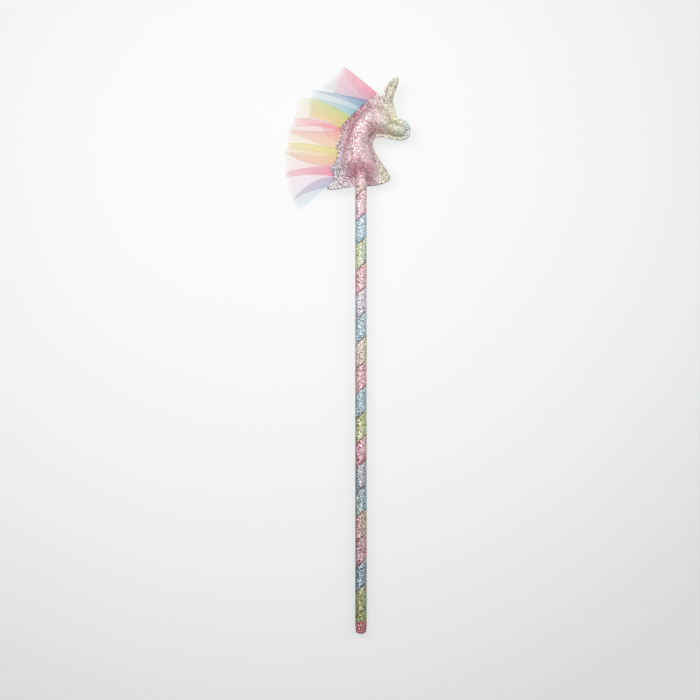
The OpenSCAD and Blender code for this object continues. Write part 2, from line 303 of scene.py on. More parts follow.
def head_glitter():
    """Glitter fabric printed in bands, from silver at the mane through pink to green at the nose."""
    look = Look("head_glitter")
    place = look.node("ShaderNodeTexCoord", output="Object")
    x, y, _ = look.parts(place)
    x, y = x / MM, y / MM - HEAD_Y
    cloud = look.node("ShaderNodeTexNoise", None, {"Vector": place, "Scale": 90.0, "Detail": 2.0})
    across = (x + 28.6) / 69.8 + (cloud - 0.5) * 0.08
    colour = look.ramp(across, [
        (0.00, srgb(196, 190, 199)), (0.12, srgb(189, 177, 188)), (0.19, srgb(202, 166, 180)),
        (0.26, srgb(201, 140, 158)), (0.40, srgb(204, 146, 160)), (0.52, srgb(206, 163, 170)),
        (0.62, srgb(212, 186, 180)), (0.72, srgb(206, 194, 164)), (0.84, srgb(197, 203, 156)),
        (0.93, srgb(196, 206, 190)), (1.00, srgb(190, 204, 206)),
    ])
    chest = x.between(13, 18) * y.between(32, 22)
    colour = look.mix(0.8 * chest, colour, srgb(219, 213, 188))
    hem = y.between(6, 2) * x.between(-4, -8)
    colour = look.mix(0.75 * hem, colour, srgb(214, 198, 205))
    # Deep pink painted as shade at the foot of the neck, in the throat and in the crease beside the mane
    blush = look.node("ShaderNodeAttribute", {"attribute_name": "blush"}, output="Fac")
    colour = look.mix(0.85 * blush, colour, srgb(200, 108, 134))
    # Painted shade: a warmer colour under the jaw at the throat
    throat = (1 - ((x - 12) / 11) ** 2 - ((y - 46.5) / 4.5) ** 2).clamped()
    colour = look.mix(0.6 * throat, colour, srgb(222, 158, 140))
    brow = y.between(54, 68) * x.between(14, 20)
    colour = look.mix(0.5 * brow, colour, srgb(214, 207, 194))
    # Painted shade and light come from the mesh; the border at the mane also has clumps of brighter and duller flakes
    pinch = look.node("ShaderNodeAttribute", {"attribute_name": "pinch"}, output="Fac")
    clump = look.node("ShaderNodeTexNoise", None, {"Vector": place, "Scale": 800.0, "Detail": 1.0})
    mane_border = x.between(-13.5, -16.5) * y.between(50, 44)
    pinch = pinch + 3.2 * mane_border * (clump - 0.5)
    horn = y.between(64, 74)
    face = x.between(4, 16)
    heel = x.between(4, 7) * x.between(16, 14) * y.between(14, 10)
    calm = blush
    for calmer in (0.6 * horn, 0.36 * face + 0.4 * heel, 0.6 * throat):
        calm = calm.math("MAXIMUM", calmer)
    # Painted shade (side 0.3) where the head turns away from the flat
    sprinkle(look, colour, place, HEAD_FLAKE, pinch, 0.3, calm)
    return look.material


# Colours of the strip's turns on the front, from the head down. A turn with two goes from right to left.
PINK, BLUE, LIME, LILAC = (214, 152, 164), (142, 184, 198), (186, 192, 116), (190, 182, 194)
CREAM, ROSE, MINT = (218, 192, 170), (205, 151, 162), (162, 183, 154)
STRAW, PEACH, MAUVE, SLATE = (195, 186, 130), (216, 188, 186), (180, 172, 183), (161, 172, 191)
SEA, TEAL, SAND, CORAL = (131, 176, 197), (160, 182, 171), (199, 184, 139), (214, 162, 169)
BERRY, ORCHID, DENIM = (212, 142, 161), (212, 178, 193), (134, 172, 191)
TURNS = [
    [CREAM], [ROSE], [BLUE], [MINT, LIME], [PINK], [LILAC], [BLUE], [STRAW, PEACH], [PINK], [BLUE],
    [LIME], [BERRY], [MAUVE, SLATE], [SEA, TEAL], [SAND, CORAL], [PINK, ORCHID], [DENIM], [LIME], [LIME],
]
# Where a turn's one colour or two colours come, as shares of the turn
COLOUR_PLACES = {1: (0.5,), 2: (0.36, 0.64)}


def strip_glitter():
    """Each turn of the strip shows its own colours on the front and blends into the next at the back."""
    look = Look("strip_glitter")
    place = look.node("ShaderNodeTexCoord", output="Object")
    x, y, z = look.parts(place)
    turn = x.math("ARCTAN2", z) / (2 * math.pi)
    rise = (y - FIRST_SEAM * MM) / (STRIP_PITCH * MM) - turn
    along = turn + rise.floor()
    cloud = look.node("ShaderNodeTexNoise", None, {"Vector": place, "Scale": 120.0, "Detail": 2.0})
    down = (0.5 - along + (cloud - 0.5) * 0.25) / len(TURNS)
    stops = []
    for i, colours in enumerate(TURNS):
        for share, colour in zip(COLOUR_PLACES[len(colours)], colours):
            stops.append(((i + share) / len(TURNS), srgb(*colour)))
    colour = look.ramp(down, stops, "EASE")
    # Painted shade: darker and deeper in colour towards the butt, where the light falls off
    painted_falloff = 1 - (y / (HEAD_Y * MM)).clamped()
    colour = look.mix(0.85 * painted_falloff * painted_falloff, colour, look.mix(1.0, colour, colour, "MULTIPLY"))
    butt = y.between(0.045, 0.025)
    # Painted shade on the left side of the stick, where the strip turns away from the flat
    left_painted_shade = 0.42 - x * (0.2 / (STICK_R * MM))
    sprinkle(look, colour, place, STICK_FLAKE, 0.62 * painted_falloff, left_painted_shade, 0.45 * butt)
    return look.material


def cap_glitter():
    look = Look("cap_glitter")
    place = look.node("ShaderNodeTexCoord", output="Object")
    cloud = look.node("ShaderNodeTexNoise", None, {"Vector": place, "Scale": 200.0, "Detail": 2.0})
    colour = look.ramp(cloud, [(0.35, srgb(174, 58, 74)), (0.65, srgb(194, 80, 96))])
    # Painted shade over the whole cap, as at the butt end of the strip, and more where it turns away from the flat
    sprinkle(look, colour, place, STICK_FLAKE, painted_shade=0.55, side=0.3, calm=0.5)
    return look.material


def wood():
    look = Look("dowel_wood")
    place = look.node("ShaderNodeTexCoord", output="Object")
    long_way = look.vector("MULTIPLY", place, (900.0, 40.0, 900.0))
    grain = look.node("ShaderNodeTexNoise", None, {"Vector": long_way, "Scale": 1.0, "Detail": 4.0})
    look.set(Base_Color=look.ramp(grain, [(0.3, srgb(150, 112, 78)), (0.7, srgb(188, 150, 108))]), Roughness=0.75)
    return look.material


def fibre():
    look = Look("fibre_fill")
    place = look.node("ShaderNodeTexCoord", output="Object")
    tangle = {"Vector": place, "Scale": 900.0, "Detail": 5.0, "Distortion": 2.0}
    strands = look.node("ShaderNodeTexNoise", None, tangle)
    bump = look.node("ShaderNodeBump", None, {"Strength": 0.5, "Distance": 0.0006, "Height": strands})
    colour = look.ramp(strands, [(0.3, srgb(226, 224, 220)), (0.7, srgb(248, 247, 244))])
    look.set(Base_Color=colour, Roughness=0.95, Normal=bump)
    return look.material


def glue():
    look = Look("hot_glue")
    place = look.node("ShaderNodeTexCoord", output="Object")
    cloud = look.node("ShaderNodeTexNoise", None, {"Vector": place, "Scale": 300.0})
    look.set(Base_Color=look.ramp(cloud, [(0.3, srgb(226, 214, 180)), (0.7, srgb(240, 232, 205))]), Roughness=0.3)
    return look.material


def thread_look():
    look = Look("sewing_thread")
    place = look.node("ShaderNodeTexCoord", output="Object")
    twist = {"Vector": place, "Scale": 900.0, "Distortion": 1.0}
    lay = look.node("ShaderNodeTexWave", {"bands_direction": "DIAGONAL"}, twist, "Fac")
    bump = look.node("ShaderNodeBump", None, {"Strength": 0.4, "Distance": 0.0001, "Height": lay})
    colour = look.ramp(lay, [(0.2, srgb(196, 170, 176)), (0.8, srgb(226, 206, 210))])
    look.set(Base_Color=colour, Roughness=0.6, Normal=bump)
    return look.material


# Holes of the net, from one to the next in millimetres, and how strong its dyes are
NET_HOLE = 1.2
DYE_STRENGTH = 0.81


def net(name, dyes, root_alpha, free_alpha):
    """Tulle: a fine net, dyed from fold to fold, denser at its folds and towards its gathered root."""
    look = Look(name)
    spot = look.node("ShaderNodeUVMap", {"uv_map": "fold"})
    across, out, _ = look.parts(spot)
    wide, long, _ = look.parts(look.node("ShaderNodeUVMap", {"uv_map": "cut"}))
    plies = len(dyes) - 1
    dye = look.ramp(across / plies, [(i / plies, srgb(*colour)) for i, colour in enumerate(dyes)])
    dye = look.shaded(dye, DYE_STRENGTH)
    step = math.pi / (NET_HOLE * MM)
    mesh = (wide * (2 * step)).math("COSINE")
    for way in (1, -1):
        mesh = mesh + (wide * step + long * (way * math.sqrt(3) * step)).math("COSINE")
    mesh = mesh / 3
    from_fold = across.math("PINGPONG", 0.5)
    crease = from_fold.between(0.05, 0)
    long_way = look.vector("MULTIPLY", spot, (2.0, 1.2, 1.0))
    cloud = look.node("ShaderNodeTexNoise", None, {"Vector": long_way, "Scale": 2.0})
    dense = root_alpha + (free_alpha - root_alpha) * (out.clamped() ** 0.6)
    edge = across.between(0, 0.15) * across.between(plies, plies - 0.15) * 0.6 + 0.4
    hem = out.between(1, 0.88) * 0.5 + 0.5
    alpha = (dense * (0.8 + 0.4 * cloud) * (1 + 0.35 * mesh) + 0.16 * crease * crease) * edge * hem
    look.set(Base_Color=dye, Roughness=0.8, Alpha=alpha.clamped())
    look.shader.inputs["Specular IOR Level"].default_value = 0.2
    return look.material


# Painted light that the table's surface gives off: at its brightest place, how fast it falls off from there, and the
# least of it
TABLE_BRIGHTEST = (-0.07, 0.37, 0.0)
TABLE_GLOW = 0.693
TABLE_FALL = 0.95
LEAST_GLOW = 0.47


def glowing_table():
    """A table whose surface glows, as painted light: brightest near the wand and falling off towards its corners,
    which also lightens the shadows on it.
    """
    look = Look("glowing_table")
    place = look.node("ShaderNodeTexCoord", output="Object")
    cloud = look.node("ShaderNodeTexNoise", None, {"Vector": place, "Scale": 3.0})
    off = look.node("ShaderNodeVectorMath", {"operation": "DISTANCE"}, {0: place, 1: TABLE_BRIGHTEST}, "Value")
    glow = (TABLE_GLOW - TABLE_FALL * off * off).math("MAXIMUM", LEAST_GLOW)
    colour = look.ramp(cloud, [(0.3, (0.216, 0.22, 0.218, 1)), (0.7, (0.224, 0.228, 0.226, 1))])
    look.set(Base_Color=colour, Roughness=0.9)
    look.set(Emission_Color=look.node("ShaderNodeCombineXYZ", None, {0: glow * 0.995, 1: glow * 1.005, 2: glow}))
    look.shader.inputs["Emission Strength"].default_value = 1.0
    return look.material


# Making pieces


def made(bm, name, material):
    """An object of this mesh, which comes in millimetres, riding on the wand."""
    bmesh.ops.scale(bm, vec=(MM, MM, MM), verts=bm.verts)
    mesh = bpy.data.meshes.new(name)
    bm.to_mesh(mesh)
    bm.free()
    mesh.materials.append(material)
    mesh.shade_smooth()
    piece = bpy.data.objects.new(name, mesh)
    bpy.context.scene.collection.objects.link(piece)
    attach(piece, BODY)
    return piece


def at_head(bm):
    bmesh.ops.translate(bm, vec=(0, HEAD_Y, 0), verts=bm.verts)


def to_back(bm):
    bmesh.ops.scale(bm, vec=(1, 1, -1), verts=bm.verts)
    bmesh.ops.reverse_faces(bm, faces=bm.faces)


def turned_out(bm):
    bmesh.ops.remove_doubles(bm, verts=bm.verts, dist=WELD / 2)
    bmesh.ops.recalc_face_normals(bm, faces=bm.faces)


def smooth_point(points, u):
    """The point at u along a smooth curve through the listed points."""
    last = len(points) - 1
    i = min(int(u), last - 1)
    t = u - i
    p0, p1, p2, p3 = (points[min(max(k, 0), last)] for k in (i - 1, i, i + 1, i + 2))
    bend = (2 * p0 - 5 * p1 + 4 * p2 - p3) * t ** 2
    turn = (3 * p1 - p0 - 3 * p2 + p3) * t ** 3
    return 0.5 * (2 * p1 + (p2 - p0) * t + bend + turn)


class Ribs:
    """A puff between two seams.

    Its foot stands a little outside them and is sunk in the border. Its sides are blunt where gentle is low.
    """

    def __init__(self, rows, foot, sunk, gentle):
        self.foot = foot
        self.sunk = sunk
        self.gentle = gentle
        self.left = [Vector(row[0]) for row in rows]
        self.right = [Vector(row[1]) for row in rows]
        self.share = [float(row[2]) for row in rows]
        self.last = len(rows) - 1

    def at(self, u, grow):
        """Both sides of the puff at u along its ribs, moved out by grow, and its share of the crown there."""
        left, right = smooth_point(self.left, u), smooth_point(self.right, u)
        way = (right - left).normalized()
        return left - way * grow, right + way * grow, max(smooth_point(self.share, u), 0.0)


HEAD = Ribs(HEAD_RIBS, foot=0.25, sunk=0.3, gentle=0.55)
HORN = Ribs(HORN_RIBS, foot=1.5, sunk=0.06 * HORN_PUFF, gentle=1.0)


def mane_side(first, last, grow):
    """Points along the left seam of the head, from one rib to another."""
    return [HEAD.at(i / 4, grow)[0] for i in range(int(first * 4), int(last * 4) + 1)]


# The seam along the mane, the crease beside it on the puff, and the seam from the poll down to the nose
MANE_SEAM = mane_side(2, 9, HEAD.foot)
MANE_CREASE = mane_side(2, 9, -1.2)
BROW_SEAM = mane_side(9, 13.25, HEAD.foot)
# Ribs between which the dome goes over from the neck's shape to the brow's
NECK_END, BROW_START = 8.5, 9.5


def between(value, start, end):
    """0 where a value is at start, 1 where it is at end, and in step between them."""
    return min(max((value - start) / (end - start), 0.0), 1.0)


def soft_max(a, b, soft):
    """The greater of two heights, with a rounded hollow of that size where they meet."""
    return max(a, b) + max(soft - abs(a - b), 0) ** 2 / (4 * soft)


def over_stick(x, z):
    """The height of the fabric where it is pulled over the stick, and z away from it."""
    outer = TUNNEL_R + FABRIC_T
    arch = math.copysign(math.sqrt(abs(outer ** 2 - x ** 2)), outer - abs(x))
    return soft_max(arch, z, TUNNEL_HOLLOW)


def dome(ribs, height, u, t):
    """A point of a stuffed dome at u along its ribs and t across them."""
    left, right, share = ribs.at(u, ribs.foot)
    place = left.lerp(right, t)
    brow = between(u, NECK_END, BROW_START) if t < 0.5 else 0.0
    fullness = 2.8 - 0.6 * brow if t < 0.5 else 2.5
    rise = max(1 - abs(2 * t - 1) ** fullness, 0.0) ** (ribs.gentle + 0.25 * brow)
    z = FLANGE_TOP - ribs.sunk + (height + ribs.sunk) * share * rise
    z = soft_max(FLANGE_TOP - 0.05, z, 0.7)
    if t in (0, 1) or u in (0, ribs.last):
        z = FLANGE_TOP - 0.15
    if place.y < TUNNEL_LEN + TUNNEL_BLEND:
        z = over_stick(place.x, z)
    return Vector((place.x, place.y, z))


class Stuffed:
    """What the fabric of a dome does when it is stuffed.

    A cloth, cut a little large and held at its seam, is blown up.
    """

    ALONG, ACROSS = 100, 36
    # The cloth is simulated ten times as large, at the size of a seat pad
    SCALE = 0.01
    PRESSURE = 4.0
    EASE = 0.02
    FRAMES = 20
    # The furthest that a point may move, and how deep it may lie under the full dome, in millimetres
    FURTHEST = 1.3
    DEEPEST = 0.35

    def __init__(self, ribs, height):
        self.last = ribs.last
        bm = bmesh.new()
        bmesh.ops.create_grid(bm, x_segments=self.ACROSS, y_segments=self.ALONG, size=0.5)
        spots = []
        for vert in bm.verts:
            i, j = round((vert.co.y + 0.5) * self.ALONG), round((vert.co.x + 0.5) * self.ACROSS)
            spots.append((i, j))
            vert.co = dome(ribs, height * SLACK, i / self.ALONG * ribs.last, j / self.ACROSS) * self.SCALE
        face_up(bm)
        mesh = bpy.data.meshes.new("pad")
        bm.to_mesh(mesh)
        bm.free()
        self.moved = {spot: Vector((0, 0, 0)) for spot in spots}
        self.blow_up(mesh, spots)
        bpy.data.meshes.remove(mesh)

    def blow_up(self, mesh, spots):
        scene = bpy.context.scene
        pad = bpy.data.objects.new("pad", mesh)
        scene.collection.objects.link(pad)
        held = [n for n, (i, j) in enumerate(spots) if i in (0, self.ALONG) or j in (0, self.ACROSS)]
        pad.vertex_groups.new(name="seam").add(held, 1.0, "REPLACE")
        cloth = pad.modifiers.new("Cloth", "CLOTH")
        cloth.settings.vertex_group_mass = "seam"
        cloth.settings.quality = 8
        cloth.settings.use_pressure = True
        cloth.settings.uniform_pressure_force = self.PRESSURE
        cloth.settings.shrink_min = -self.EASE
        cloth.settings.bending_stiffness = 0.3
        cloth.settings.effector_weights.gravity = 0
        cloth.collision_settings.use_collision = False
        for number in range(1, self.FRAMES + 1):
            scene.frame_set(number)
        blown = pad.evaluated_get(bpy.context.evaluated_depsgraph_get()).to_mesh()
        for spot, before, after in zip(spots, mesh.vertices, blown.vertices):
            way = (after.co - before.co) / self.SCALE
            way *= min(1.0, self.FURTHEST / max(way.length, 0.001))
            self.moved[spot] = way
        scene.frame_set(1)
        bpy.data.objects.remove(pad)
        self.relax()
        self.relax()

    def relax(self):
        """Evens out the movement between neighbours."""
        inner = [(i, j) for i, j in self.moved if 0 < i < self.ALONG and 0 < j < self.ACROSS]
        even = {}
        for i, j in inner:
            beside = self.moved[i - 1, j] + self.moved[i + 1, j] + self.moved[i, j - 1] + self.moved[i, j + 1]
            even[i, j] = (self.moved[i, j] + beside / 4) / 2
        self.moved.update(even)

    def at(self, u, t):
        """How far the cloth moved at u along the ribs and t across them."""
        y, x = u / self.last * self.ALONG, t * self.ACROSS
        i, j = min(int(y), self.ALONG - 1), min(int(x), self.ACROSS - 1)
        near = self.moved[i, j].lerp(self.moved[i, j + 1], x - j)
        far = self.moved[i + 1, j].lerp(self.moved[i + 1, j + 1], x - j)
        return near.lerp(far, y - i)


def puff(ribs, height, along, across, stuffed=None):
    """A stuffed dome over ribs."""
    bm = bmesh.new()
    bmesh.ops.create_grid(bm, x_segments=across, y_segments=along, size=0.5)
    for vert in bm.verts:
        t = (1 - math.cos(math.pi * (vert.co.x + 0.5))) / 2
        u = (vert.co.y + 0.5) * ribs.last
        vert.co = dome(ribs, height, u, t)
        if stuffed:
            least = vert.co.z - stuffed.DEEPEST
            vert.co = dome(ribs, height * SLACK, u, t) + stuffed.at(u, t)
            vert.co.z = max(vert.co.z, least)
    face_up(bm)
    add_lining(bm, STRETCHED_T)
    return bm


def face_up(bm):
    bmesh.ops.recalc_face_normals(bm, faces=bm.faces)
    if sum(face.normal.z for face in bm.faces) < 0:
        bmesh.ops.reverse_faces(bm, faces=bm.faces)


def border():
    """The flat border of the head, cut to its outline and sliced so that it can wave a little."""
    curve = bpy.data.curves.new("outline", "CURVE")
    curve.dimensions = "2D"
    curve.fill_mode = "BOTH"
    curve.resolution_u = 10
    spline = curve.splines.new("BEZIER")
    spline.bezier_points.add(len(HEAD_EDGE) - 1)
    spline.use_cyclic_u = True
    for i, (start, first, _) in enumerate(HEAD_EDGE):
        point = spline.bezier_points[i]
        point.handle_left_type = point.handle_right_type = "FREE"
        point.co = (*start, 0)
        point.handle_right = (*first, 0)
        point.handle_left = (*HEAD_EDGE[i - 1][2], 0)
    holder = bpy.data.objects.new("outline", curve)
    bm = bmesh.new()
    bm.from_mesh(holder.to_mesh())
    bpy.data.objects.remove(holder)
    bmesh.ops.remove_doubles(bm, verts=bm.verts, dist=WELD)
    bmesh.ops.dissolve_limit(bm, angle_limit=0.01, verts=[], edges=bm.edges)
    for axis, (low, high) in enumerate(HEAD_SPAN):
        for step in range(int((high - low) / BORDER_STEP) + 1):
            place, normal = [0, 0, 0], [0, 0, 0]
            place[axis], normal[axis] = low + BORDER_STEP * step, 1
            geometry = bm.verts[:] + bm.edges[:] + bm.faces[:]
            bmesh.ops.bisect_plane(bm, geom=geometry, plane_co=place, plane_no=normal)
    return bm


def add(bm, other):
    """Puts another mesh into this one."""
    mesh = bpy.data.meshes.new("part")
    other.to_mesh(mesh)
    other.free()
    bm.from_mesh(mesh)
    bpy.data.meshes.remove(mesh)


def thicken(bm, thickness):
    bmesh.ops.solidify(bm, geom=bm.faces[:], thickness=thickness)


def add_lining(bm, thickness):
    """Gives a curved skin an inner side, without the corners that a true offset would make in its hollows."""
    bm.normal_update()
    inner = bmesh.ops.extrude_face_region(bm, geom=bm.faces[:], use_keep_orig=True)["geom"]
    for vert in inner:
        if isinstance(vert, bmesh.types.BMVert):
            vert.co -= vert.normal * thickness
    bmesh.ops.recalc_face_normals(bm, faces=bm.faces)


def tunnel():
    """The half tube that the fabric makes over the stick below the stuffed part."""
    bm = bmesh.new()
    bmesh.ops.create_grid(bm, x_segments=44, y_segments=20, size=0.5)
    for vert in bm.verts:
        x = vert.co.x * 2 * (TUNNEL_R + FABRIC_T + TUNNEL_HOLLOW)
        y = (vert.co.y + 0.5) * (TUNNEL_LEN - TUNNEL_BLEND)
        z = over_stick(x, FLANGE_TOP - 0.12) + 0.1 * noise.noise(Vector((x * 0.5, y * 0.4, 7)))
        vert.co = (x, y, z)
    face_up(bm)
    thicken(bm, STRETCHED_T)
    return bm


def nearest(points, x, y):
    return min((Vector((x, y)) - point).length for point in points)


def border_painted_shade(x, y):
    """How much painted shade the flat border gets: most along the base and where the mane is sewn in at the crest."""
    outside = nearest(MANE_SEAM, x, y)
    if y > 74:
        return 0.3 + 0.24 * between(y, 76, 84)
    if y > 68 or x > 33:
        return 0.5
    if x > 8:
        jaw = between(y, 37, 41) * between(x, 11, 15)
        under = between(y, 50, 47)
        chest = between(x, 12, 15) * between(y, 24, 20)
        base = 1.1 - y / 12 if x < 14 else 0.0
        return max(0.68 - (0.33 + 0.25 * under) * jaw + 0.08 * chest, base)
    base = (1.3 - y / 14) * between(x, -7, -4)
    crest = between(y, 50, 56)
    low = 0.12 * between(y, 6, 9) * between(y, 24, 20)
    mane = 0.35 + 0.08 * min(outside, 3) + low + crest * (0.22 * outside - 0.15)
    return min(max(base, mane), 1.0)


def puff_painted_shade(x, y):
    """How much painted shade the stuffed part gets: a little on the cheek and at the foot, and less than nothing,
    which is painted light, on the slopes and along the brow seam.
    """
    inside = nearest(MANE_SEAM, x, y)
    forehead = between(x, 16, 21) * between(y, 53, 57)
    cheek = 0.27 * between(x, 0, 8) * between(y, 45, 50) * (1 - 0.8 * forehead)
    throat_slope = 0.24 * between(x, 3, 6) * between(x, 22, 18) * between(y, 50, 44)
    mane_slope = 0.3 * max(1 - inside / 6, 0) * (1 + 0.6 * between(y, 46, 40))
    slopes = (throat_slope + mane_slope) * between(y, 10, 18)
    brow = 0.5 * max(1 - nearest(BROW_SEAM, x, y) / 3, 0)
    foot = 0.5 * between(y, 14, 8) * between(x, 2, 5)
    return cheek - slopes - brow + foot


def pink_shade_at(x, y):
    """How much deep pink is painted as shade, from 0 to 1: at the foot of the neck, in the throat and in the crease
    beside the mane.
    """
    foot = max(1 - abs(y - 14) / 14, 0) * between(x, -15, -8) * between(x, 14, 8)
    throat = max(1 - ((x - 10) / 9) ** 2 - ((y - 46) / 4) ** 2, 0)
    crease = max(1 - nearest(MANE_CREASE, x, y) / 2.8, 0) * between(y, 24, 38) * between(y, 68, 58)
    return max(0.92 * foot, 0.15 * throat, 0.95 * crease)


def border_pink_shade_at(x, y):
    """The same for the flat border, which gets the pink painted shade at the crest too."""
    crest = 0.42 * between(y, 50, 56) * between(nearest(MANE_SEAM, x, y), 0.8, 2.5) * between(x, 8, 4)
    return max(pink_shade_at(x, y), crest)


def mark(bm, name, amount):
    """Keeps an amount that depends on the place with each point of a mesh."""
    layer = bm.verts.layers.float.new(name)
    for vert in bm.verts:
        vert[layer] = amount(vert.co.x, vert.co.y)


def panel(name, node, side, stuffed, material):
    """One side of the head: side is 1 on the front and -1 on the back."""
    bm = border()
    for vert in bm.verts:
        vert.co.z = FLANGE_TOP + BORDER_WAVE * noise.noise(Vector((vert.co.x, vert.co.y, 5)) * 0.16)
    face_up(bm)
    thicken(bm, FABRIC_T)
    add(bm, puff(HORN, HORN_PUFF, along=44, across=18))
    # Painted shade and painted pink shade, kept with the points of each piece
    mark(bm, "pinch", border_painted_shade)
    mark(bm, "blush", border_pink_shade_at)
    head = puff(HEAD, CROWN_H, along=170, across=52, stuffed=stuffed)
    mark(head, "pinch", puff_painted_shade)
    mark(head, "blush", pink_shade_at)
    add(bm, head)
    tube = tunnel()
    # The fabric over the stick gets a painted highlight, as less than no painted shade
    mark(tube, "pinch", lambda x, y: -TUNNEL_PAINTED_HIGHLIGHT)
    add(bm, tube)
    if side < 0:
        to_back(bm)
    at_head(bm)
    piece = made(bm, name, material)
    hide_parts(node)
    return piece


def seam_path():
    """The seam round the stuffed part, from one side of the tunnel to the other."""
    out = FABRIC_T + THREAD_D / 2 + 0.25
    down = Vector((0, out))
    edge = TUNNEL_R + FABRIC_T + THREAD_D
    foot_left, foot_right = (Vector(point) - down for point in HEAD_RIBS[0][:2])
    left = [HEAD.at(i, out)[0] for i in range(1, HEAD.last + 1)]
    right = [HEAD.at(i, out)[1] for i in range(HEAD.last, 0, -1)]
    points = [Vector((-edge, foot_left.y)), foot_left, *left, *right, foot_right, Vector((edge, foot_right.y))]
    return [smooth_point(points, i / 24) for i in range((len(points) - 1) * 24 + 1)]


def stitches(name, node, side, material):
    """A row of stitches along the seam."""
    path = seam_path()
    bm = bmesh.new()
    travelled = 1.2
    for before, after in zip(path, path[1:]):
        travelled += (after - before).length
        if travelled < STITCH_PITCH:
            continue
        travelled -= STITCH_PITCH
        way = (after - before).normalized()
        turn = Matrix.Rotation(math.atan2(way.y, way.x), 4, "Z")
        place = Matrix.Translation((after.x, after.y, FLANGE_TOP))
        size = Matrix.Diagonal((STITCH_LEN / 2, THREAD_D / 2, THREAD_D / 2, 1))
        bmesh.ops.create_icosphere(bm, subdivisions=2, radius=1.0, matrix=place @ turn @ size)
    if side < 0:
        to_back(bm)
    at_head(bm)
    piece = made(bm, name, material)
    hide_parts(node)


def wound_strip(material):
    """The glitter strip: its section carried round the dowel as a spiral, then cut straight at both ends."""
    bm = bmesh.new()
    low, high = STRIP_GAP / 2, STRIP_PITCH - STRIP_GAP / 2
    inner, shoulder = DOWEL_R + SNUG, STICK_R - STRIP_EDGE
    section = [(inner, low), (shoulder, low), (STICK_R, low + STRIP_EDGE)]
    section += [(STICK_R, low + (high - low) * k / 8) for k in range(1, 8)]
    section += [(STICK_R, high - STRIP_EDGE), (shoulder, high), (inner, high)]
    turns_below = math.ceil((FIRST_SEAM - CAP_LEN) / STRIP_PITCH) + 1
    turns = turns_below + 2
    start = FIRST_SEAM - turns_below * STRIP_PITCH
    verts = [bm.verts.new((0, start + along, radius)) for radius, along in section]
    edges = [bm.edges.new((verts[i], verts[(i + 1) % len(verts)])) for i in range(len(verts))]
    steps = turns * STRIP_STEPS
    bmesh.ops.spin(
        bm, geom=verts + edges, cent=(0, 0, 0), axis=(0, 1, 0), dvec=(0, turns * STRIP_PITCH / steps, 0),
        angle=turns * 2 * math.pi, steps=steps,
    )
    for height, normal in ((CAP_LEN + 0.06, (0, -1, 0)), (STRIP_TOP, (0, 1, 0))):
        geometry = bm.verts[:] + bm.edges[:] + bm.faces[:]
        bmesh.ops.bisect_plane(bm, geom=geometry, plane_co=(0, height, 0), plane_no=normal, clear_outer=True)
    bmesh.ops.holes_fill(bm, edges=[edge for edge in bm.edges if edge.is_boundary], sides=0)
    turned_out(bm)
    for vert in bm.verts:
        radius = math.hypot(vert.co.x, vert.co.z)
        if radius > STICK_R - 0.3:
            lump = 1 + STRIP_LUMP / radius * noise.noise(vert.co * 0.35)
            vert.co.x *= lump
            vert.co.z *= lump
    piece = made(bm, "wound_strip", material)
    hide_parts("spiral_strip")


def butt_cap(material):
    """The cap on the butt: a turned cup with a rounded rim, a little drawn in at its mouth."""
    bm = bmesh.new()
    flat = STICK_R - CAP_ROUND - CAP_TAPER
    profile = [(0, 0), (flat, 0)]
    for k in range(1, 9):
        a = math.pi / 2 * k / 8
        profile.append((flat + CAP_ROUND * math.sin(a), CAP_ROUND - CAP_ROUND * math.cos(a)))
    profile += [(STICK_R, 6.5), (STICK_R, CAP_LEN - 0.5)]
    profile += [(STICK_R - 0.12, CAP_LEN - 0.12), (STICK_R - 0.3, CAP_LEN)]
    profile += [(DOWEL_R + SNUG, CAP_LEN), (DOWEL_R + SNUG, CAP_BOTTOM), (0, CAP_BOTTOM)]
    verts = [bm.verts.new((0, along, radius)) for radius, along in profile]
    edges = [bm.edges.new(pair) for pair in zip(verts, verts[1:])]
    bmesh.ops.spin(
        bm, geom=verts + edges, cent=(0, 0, 0), axis=(0, 1, 0), angle=2 * math.pi, steps=CAP_STEPS, use_merge=True,
    )
    turned_out(bm)
    for vert in bm.verts:
        if math.hypot(vert.co.x, vert.co.z) > 1 and vert.co.y < CAP_LEN - 0.2:
            lump = 1 + CAP_LUMP * noise.noise(vert.co * 0.4)
            vert.co.x *= lump
            vert.co.z *= lump
    piece = made(bm, "butt_cap", material)
    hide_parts("end_cap")


